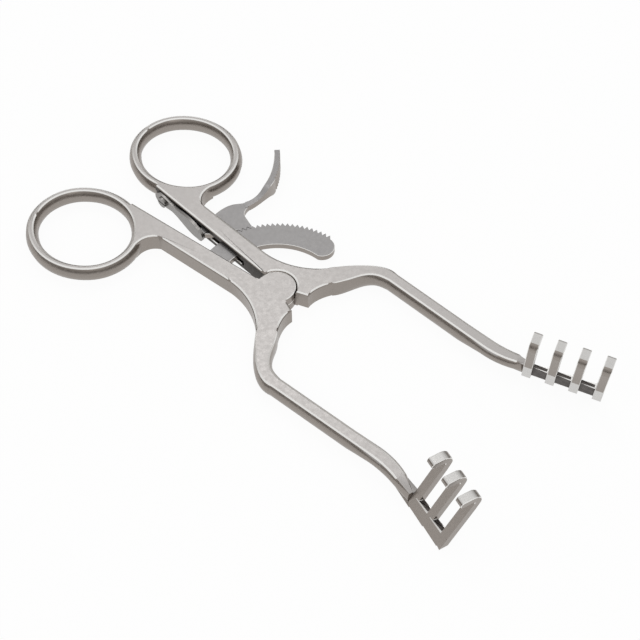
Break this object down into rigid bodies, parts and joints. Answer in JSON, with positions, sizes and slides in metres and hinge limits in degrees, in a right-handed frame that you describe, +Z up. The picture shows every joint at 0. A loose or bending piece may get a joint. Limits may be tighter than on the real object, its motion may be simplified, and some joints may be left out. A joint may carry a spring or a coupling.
{
  "type": "self retaining retractor",
  "caption": "Ring-handled surgical spreader with a lap-jointed pivot, outward-hooked prong blades, a curved ratchet rack and a sprung thumb release lever.",
  "frame": {"origin": "on the pivot axis, in the plane that the instrument rests on", "axes": "+X from the finger rings towards the prongs, +Y towards the four-prong half, +Z up through the plates, the way the prongs stand"},
  "size_m": [0.1447, 0.0681, 0.0173],
  "materials": {
    "satin_steel": "satin ground stainless steel",
    "spring_steel": "plain stainless spring steel"
  },
  "bodies": {
    "three_prong_body": {"three_prong_half": "satin_steel", "pivot_rivet": "satin_steel", "ratchet_rack": "satin_steel", "rack_pin_front": "satin_steel", "rack_pin_rear": "satin_steel"},
    "four_prong_body": {"four_prong_half": "satin_steel", "lever_pin": "satin_steel", "leaf_spring": "spring_steel", "spring_screw": "spring_steel"},
    "lever_body": {"release_lever": "satin_steel"}
  },
  "joints": [
    {"name": "spread", "type": "hinge", "parent": "three_prong_body", "child": "four_prong_body", "pos_m": [0, 0, 0], "axis": [0, 0, 1], "range_deg": [-33.33, 6.67]},
    {"name": "release", "type": "hinge", "parent": "four_prong_body", "child": "lever_body", "pos_m": [-0.0252, 0.005, 0.0025], "axis": [0, 0, 1], "range_deg": [0, 12], "stiffness_Nm_per_rad": 0.05, "springref_deg": -5.73, "deforming": ["leaf_spring"]}
  ]
}
